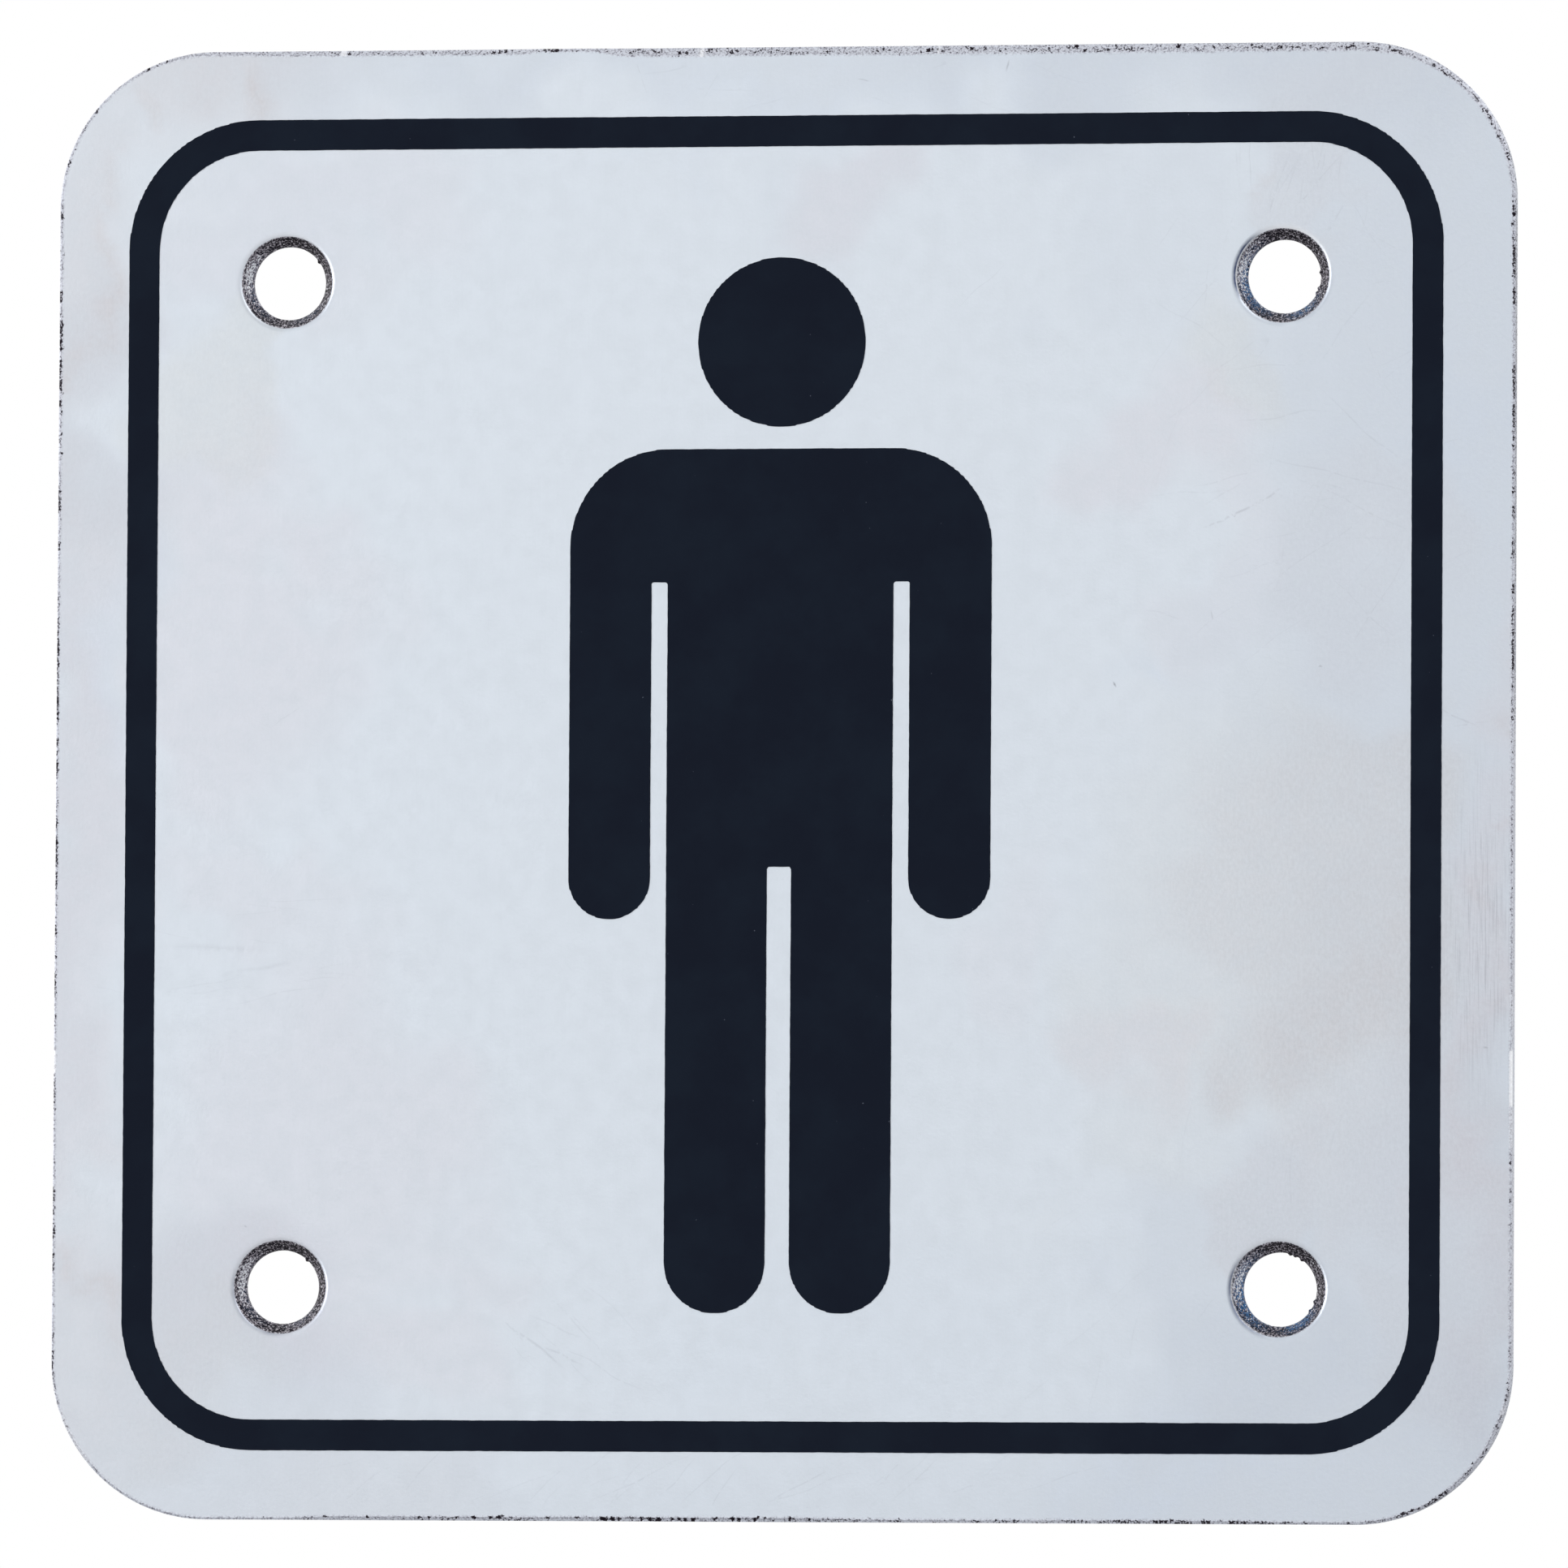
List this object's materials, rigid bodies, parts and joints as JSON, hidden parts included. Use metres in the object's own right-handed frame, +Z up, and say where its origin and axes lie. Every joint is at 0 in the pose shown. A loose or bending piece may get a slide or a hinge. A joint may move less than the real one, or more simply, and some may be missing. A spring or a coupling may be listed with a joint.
{
  "type": "mens toilet door sign",
  "caption": "Square satin stainless steel door sign with round corners, screw holes, a printed border line and a standing-man figure.",
  "frame": {"origin": "centre of the plate's back face, which lies flat on the door", "axes": "+Z up, +X to the reader's right, -Y out of the printed front, +Y into the door"},
  "size_m": [0.1, 0.0016, 0.1],
  "materials": {
    "satin_steel": "pale satin stainless steel with faint vertical grain, light stains and a worn rough edge",
    "sign_ink": "matt blue-black screen ink with slightly ragged edges"
  },
  "bodies": {
    "root": {"sign_plate": "satin_steel", "border_print": "sign_ink", "figure_head_print": "sign_ink", "figure_body_print": "sign_ink"}
  },
  "joints": []
}
